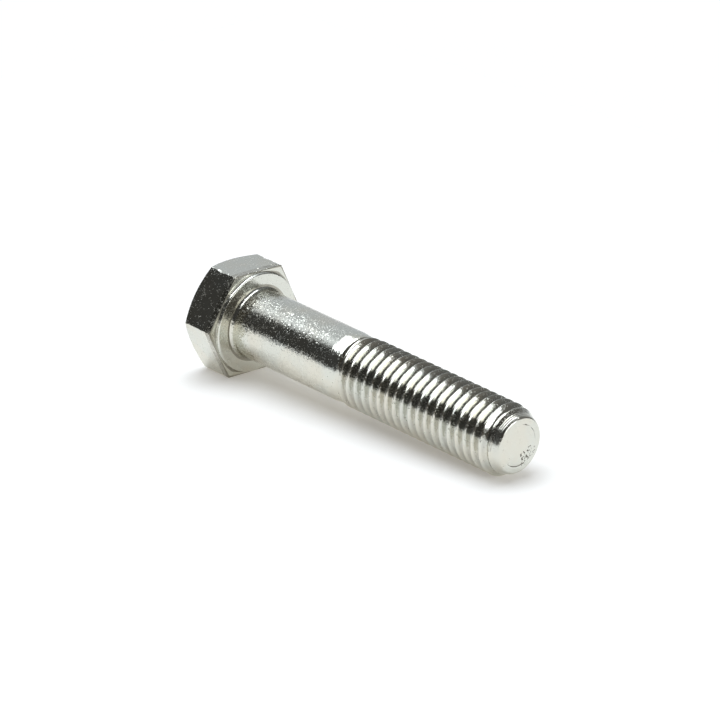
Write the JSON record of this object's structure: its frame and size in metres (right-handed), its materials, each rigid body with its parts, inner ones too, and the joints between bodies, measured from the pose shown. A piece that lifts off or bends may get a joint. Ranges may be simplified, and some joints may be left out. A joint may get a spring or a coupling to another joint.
{
  "type": "hex bolt",
  "caption": "Partially threaded metric hex bolt with a washer face under its chamfered head, a plain shank and a coarse right-hand thread with a chamfered tip.",
  "frame": {"origin": "centre of the head's outer end face", "axes": "+X along the bolt's axis from the head to the tip; +Z square to one of the head's flats, upwards when the bolt lies down; +Y sideways to a corner of the head"},
  "size_m": [0.0672, 0.0204, 0.0178],
  "materials": {
    "bright_zinc": "bright zinc-plated steel, satin on the shank and glossy on the rolled thread"
  },
  "bodies": {
    "root": {"hex_bolt": "bright_zinc"}
  },
  "joints": []
}
